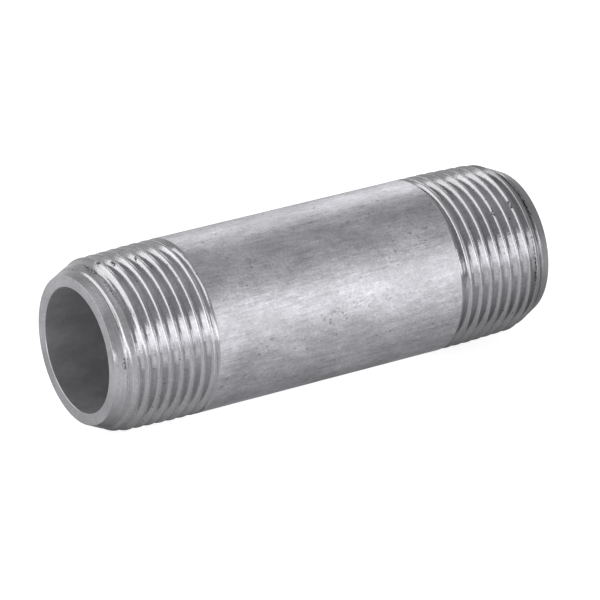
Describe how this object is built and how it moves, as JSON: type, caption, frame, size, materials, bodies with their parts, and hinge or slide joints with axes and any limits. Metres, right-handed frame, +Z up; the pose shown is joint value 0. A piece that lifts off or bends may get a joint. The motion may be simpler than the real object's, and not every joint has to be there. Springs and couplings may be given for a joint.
{
  "type": "threaded pipe nipple",
  "caption": "Short length of straight metal pipe with a male taper pipe thread cut on each end, joining female threaded fittings.",
  "frame": {"origin": "centre of the bounding box: on the pipe's axis, half way along its length", "axes": "+X along the pipe's axis, +Z up with the pipe lying on its side, +Y across it"},
  "size_m": [0.0762, 0.0266, 0.0266],
  "materials": {
    "pipe_metal": "dull, mottled drawn pipe surface on the barrel; bright freshly cut metal on the threads and end bevels"
  },
  "bodies": {
    "root": {"pipe_nipple": "pipe_metal"}
  },
  "joints": []
}
